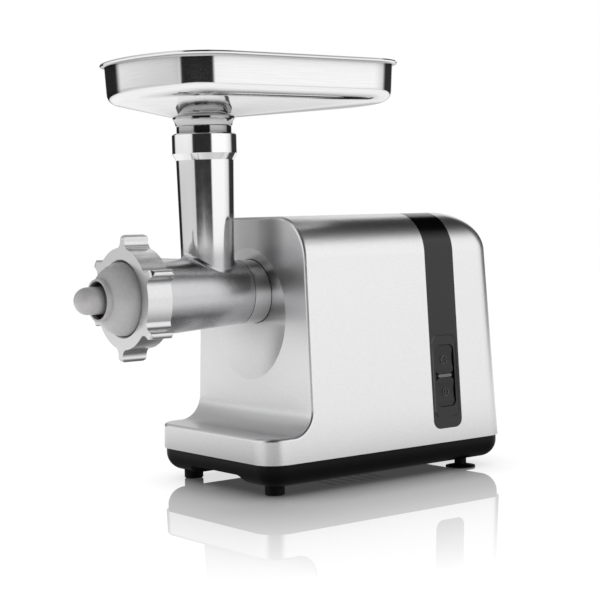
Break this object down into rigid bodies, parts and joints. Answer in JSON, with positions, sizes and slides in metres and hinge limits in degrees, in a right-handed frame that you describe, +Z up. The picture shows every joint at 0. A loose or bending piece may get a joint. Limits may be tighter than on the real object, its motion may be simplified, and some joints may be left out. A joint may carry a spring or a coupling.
{
  "type": "electric meat grinder",
  "caption": "Electric meat grinder: silver body on a black base, cast grinding head with a steel hopper tray, a lugged ring nut and a kibbe outlet.",
  "frame": {"origin": "on the table under the middle of the overall box", "axes": "+X from the outlet to the rear, +Y away from the button side, +Z up"},
  "size_m": [0.351, 0.156, 0.326],
  "materials": {
    "silver_paint": "silver metallic paint, satin",
    "black_gloss": "gloss",
    "black_satin": "satin",
    "button_black": "satin",
    "grey_plastic": "satin",
    "rubber": "matt",
    "cast_aluminium": "cast and polished",
    "turned_aluminium": "machined satin",
    "stainless": "polished",
    "pale_plastic": "satin",
    "steel": "machined",
    "feed_aluminium": "cast",
    "bush_plastic": "moulded",
    "bronze": "machined",
    "lamination": "stacked sheet",
    "copper": "enamelled wire",
    "carbon": "pressed",
    "board_green": "lacquered"
  },
  "bodies": {
    "housing": {"body_shell": "silver_paint", "trim_band": "black_gloss", "indicator_bar": "grey_plastic", "switch_block": "bush_plastic", "base": "black_satin", "base_screws": "steel", "front_feet": "rubber", "rear_feet": "rubber", "mount_collar": "turned_aluminium", "gear_case": "feed_aluminium", "gear_cover": "feed_aluminium", "case_screws": "steel", "output_bushes": "bronze", "layshaft_bushes": "bronze", "stator_core": "lamination", "field_coils": "copper", "rear_frame": "steel", "motor_bolts": "steel", "motor_bearings": "steel", "carbon_brushes": "carbon", "brush_holders": "bronze", "motor_pads": "rubber", "control_board": "board_green", "cord_gland": "rubber"},
    "head": {"head_casting": "cast_aluminium", "kibbe_former": "pale_plastic"},
    "tray": {"hopper_tray": "stainless"},
    "cone": {"kibbe_cone": "pale_plastic"},
    "ring": {"ring_nut": "turned_aluminium"},
    "feed": {"feed_screw": "feed_aluminium", "drive_shank": "steel", "screw_bush": "bush_plastic", "output_shaft": "steel", "output_gear": "steel"},
    "second_shaft": {"second_layshaft": "steel", "second_pinion": "steel", "second_wheel": "steel"},
    "first_shaft": {"first_layshaft": "steel", "first_pinion": "steel", "first_wheel": "steel"},
    "rotor": {"motor_shaft": "steel", "armature_core": "lamination", "armature_windings": "copper", "commutator": "bronze", "cooling_fan": "bush_plastic", "motor_pinion": "steel"},
    "reverse_key": {"reverse_button": "button_black"},
    "power_key": {"power_button": "button_black"}
  },
  "joints": [
    {"name": "head_turn", "type": "hinge", "parent": "housing", "child": "head", "pos_m": [-0.0339, 0, 0.1496], "axis": [1, 0, 0], "range_deg": [0, 45]},
    {"name": "tray_lift", "type": "slide", "parent": "head", "child": "tray", "axis": [0, 0, 1], "range_m": [0, 0.06]},
    {"name": "cone_draw", "type": "slide", "parent": "head", "child": "cone", "axis": [-1, 0, 0], "range_m": [0, 0.0106]},
    {"name": "ring_turn", "type": "hinge", "parent": "cone", "child": "ring", "pos_m": [-0.127, 0, 0.1496], "axis": [-1, 0, 0], "range_deg": [0, 1260]},
    {"name": "feed_spin", "type": "hinge", "parent": "housing", "child": "feed", "pos_m": [0, 0, 0.1496], "axis": [1, 0, 0], "continuous": true},
    {"name": "second_spin", "type": "hinge", "parent": "housing", "child": "second_shaft", "pos_m": [0, 0.03, 0.11776], "axis": [1, 0, 0], "continuous": true},
    {"name": "first_spin", "type": "hinge", "parent": "housing", "child": "first_shaft", "pos_m": [0, 0.02752, 0.08284], "axis": [1, 0, 0], "continuous": true},
    {"name": "rotor_spin", "type": "hinge", "parent": "housing", "child": "rotor", "pos_m": [0, 0, 0.088], "axis": [1, 0, 0], "continuous": true},
    {"name": "reverse_press", "type": "slide", "parent": "housing", "child": "reverse_key", "axis": [0, 0.9986, -0.0523], "range_m": [0, 0.003], "stiffness_N_per_m": 300, "springref_m": -0.002},
    {"name": "power_press", "type": "slide", "parent": "housing", "child": "power_key", "axis": [0, 0.9986, -0.0523], "range_m": [0, 0.003], "stiffness_N_per_m": 300, "springref_m": -0.002}
  ],
  "couplings": [
    {"joint": "cone_draw", "follows": "ring_turn", "m_per_rad": 0.00047746},
    {"joint": "second_spin", "follows": "feed_spin", "ratio": -4},
    {"joint": "first_spin", "follows": "feed_spin", "ratio": 16},
    {"joint": "rotor_spin", "follows": "feed_spin", "ratio": -64}
  ]
}
